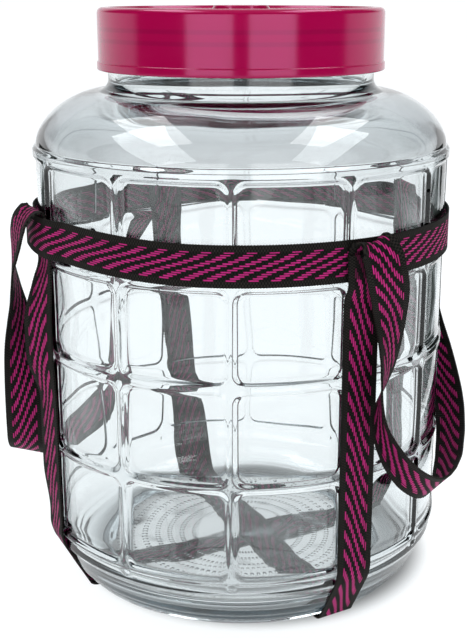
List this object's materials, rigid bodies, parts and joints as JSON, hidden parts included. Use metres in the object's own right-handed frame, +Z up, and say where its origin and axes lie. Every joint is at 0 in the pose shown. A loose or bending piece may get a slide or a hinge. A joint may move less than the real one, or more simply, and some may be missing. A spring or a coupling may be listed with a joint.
{
  "type": "storage jar",
  "caption": "Large clear moulded glass jar with a ribbed body and a screw lid, held in a webbing harness with a belt, crossed straps under the base and loop handles.",
  "frame": {"origin": "on the jar's axis, at the surface that the straps under the base stand on", "axes": "+Z up along the jar's axis, -Y towards the front of the harness, +X towards the right-hand handle"},
  "size_m": [0.274, 0.24, 0.3265],
  "materials": {
    "glass": "clear, glossy, faint grey-green tint",
    "lid": "magenta polypropylene, glossy",
    "webbing": "woven polypropylene, black edges, magenta diagonal stripes"
  },
  "bodies": {
    "root": {"glass_jar": "glass", "screw_lid": "lid", "belt": "webbing", "base_strap_a": "webbing", "base_strap_b": "webbing", "handle_right": "webbing", "handle_left": "webbing"}
  },
  "joints": []
}
